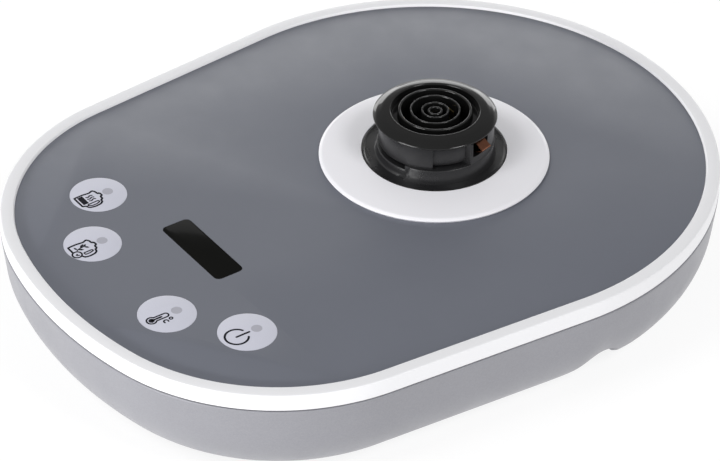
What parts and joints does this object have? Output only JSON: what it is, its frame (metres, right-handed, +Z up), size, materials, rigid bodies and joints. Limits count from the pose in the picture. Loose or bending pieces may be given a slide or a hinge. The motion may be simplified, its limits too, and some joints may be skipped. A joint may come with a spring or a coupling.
{
  "type": "electric kettle power base",
  "caption": "Low oval power base for a cordless kettle, with round press keys, a display window, a raised ring and a grooved swivel connector.",
  "frame": {"origin": "centre of the bounding box on the table plane, at the bottom of the feet", "axes": "+Y to the connector end, -Y to the key end, +X to the side with the cord notch, +Z up"},
  "size_m": [0.167, 0.2134, 0.049],
  "materials": {
    "white_plastic": "white moulded plastic, satin-gloss",
    "grey_plastic": "light grey moulded plastic, satin with a faint silver fleck",
    "panel_film": "dark grey film, satin",
    "key_print": "pale grey key faces, matt",
    "light_pipe": "milky grey light pipe",
    "smoked_window": "black smoked window, gloss",
    "black_plastic": "black heat-resistant plastic, satin",
    "rubber": "black rubber, matt",
    "copper": "copper spring strip",
    "brass": "brass spring strip",
    "zinc_steel": "zinc plated",
    "circuit_board": "green glass laminate",
    "lamp": "clear lamp body",
    "relay_case": "blue relay case",
    "transformer_tape": "yellow tape",
    "capacitor_sleeve": "shrink sleeve",
    "fuse_body": "ceramic fuse body",
    "green_plastic": "green plastic",
    "brown_insulation": "brown insulation",
    "blue_insulation": "blue insulation"
  },
  "bodies": {
    "base": {"lower_casing": "grey_plastic", "top_cover": "white_plastic", "control_panel": "panel_film", "connector_ring": "white_plastic", "display_window": "smoked_window", "foot_1": "rubber", "foot_2": "rubber", "foot_3": "rubber", "foot_4": "rubber", "display_module": "black_plastic", "control_board": "circuit_board", "power_board": "circuit_board", "relay": "relay_case", "transformer": "transformer_tape", "terminal_block": "green_plastic", "capacitor": "capacitor_sleeve", "fuse": "fuse_body", "buzzer": "black_plastic", "casing_screw_1": "zinc_steel", "casing_screw_2": "zinc_steel", "casing_screw_3": "zinc_steel", "casing_screw_4": "zinc_steel", "control_board_screw_1": "zinc_steel", "control_board_screw_2": "zinc_steel", "power_board_screw_1": "zinc_steel", "power_board_screw_2": "zinc_steel", "connector_housing": "black_plastic", "connector_cap": "black_plastic", "connector_retainer": "black_plastic", "connector_lock_ring": "black_plastic", "live_lead": "brown_insulation", "neutral_lead": "blue_insulation", "earth_lead": "green_plastic", "cord_inlet_grommet": "rubber", "key_switch_1": "black_plastic", "key_lamp_1": "lamp", "key_switch_2": "black_plastic", "key_lamp_2": "lamp", "key_switch_3": "black_plastic", "key_lamp_3": "lamp", "key_switch_4": "black_plastic", "key_lamp_4": "lamp"},
    "key_1": {"key_cap_1": "key_print", "key_light_pipe_1": "light_pipe", "switch_stem_1": "black_plastic"},
    "key_2": {"key_cap_2": "key_print", "key_light_pipe_2": "light_pipe", "switch_stem_2": "black_plastic"},
    "key_3": {"key_cap_3": "key_print", "key_light_pipe_3": "light_pipe", "switch_stem_3": "black_plastic"},
    "key_4": {"key_cap_4": "key_print", "key_light_pipe_4": "light_pipe", "switch_stem_4": "black_plastic"},
    "centre_contact": {"centre_contact": "brass"},
    "inner_contact": {"inner_contact": "brass"},
    "middle_contact": {"middle_contact": "brass"},
    "outer_contact": {"outer_contact": "brass"},
    "earth_contact": {"earth_contact": "copper"}
  },
  "joints": [
    {"name": "key_1_press", "type": "slide", "parent": "base", "child": "key_1", "axis": [0, 0, -1], "range_m": [0, 0.00035], "stiffness_N_per_m": 4000},
    {"name": "key_2_press", "type": "slide", "parent": "base", "child": "key_2", "axis": [0, 0, -1], "range_m": [0, 0.00035], "stiffness_N_per_m": 4000},
    {"name": "key_3_press", "type": "slide", "parent": "base", "child": "key_3", "axis": [0, 0, -1], "range_m": [0, 0.00035], "stiffness_N_per_m": 4000},
    {"name": "key_4_press", "type": "slide", "parent": "base", "child": "key_4", "axis": [0, 0, -1], "range_m": [0, 0.00035], "stiffness_N_per_m": 4000},
    {"name": "centre_contact_flex", "type": "slide", "parent": "base", "child": "centre_contact", "axis": [-1, 0, 0], "range_m": [0, 0.0004], "stiffness_N_per_m": 1500},
    {"name": "inner_contact_flex", "type": "slide", "parent": "base", "child": "inner_contact", "axis": [-0.6691, -0.7431, 0], "range_m": [0, 0.0002], "stiffness_N_per_m": 1500},
    {"name": "middle_contact_flex", "type": "slide", "parent": "base", "child": "middle_contact", "axis": [0, -1, 0], "range_m": [0, 0.0006], "stiffness_N_per_m": 1500},
    {"name": "outer_contact_flex", "type": "slide", "parent": "base", "child": "outer_contact", "axis": [0.342, 0.9397, 0], "range_m": [0, 0.0006], "stiffness_N_per_m": 1500},
    {"name": "earth_contact_flex", "type": "slide", "parent": "base", "child": "earth_contact", "axis": [-0.9681, -0.2504, 0], "range_m": [0, 0.0009], "stiffness_N_per_m": 1500}
  ]
}
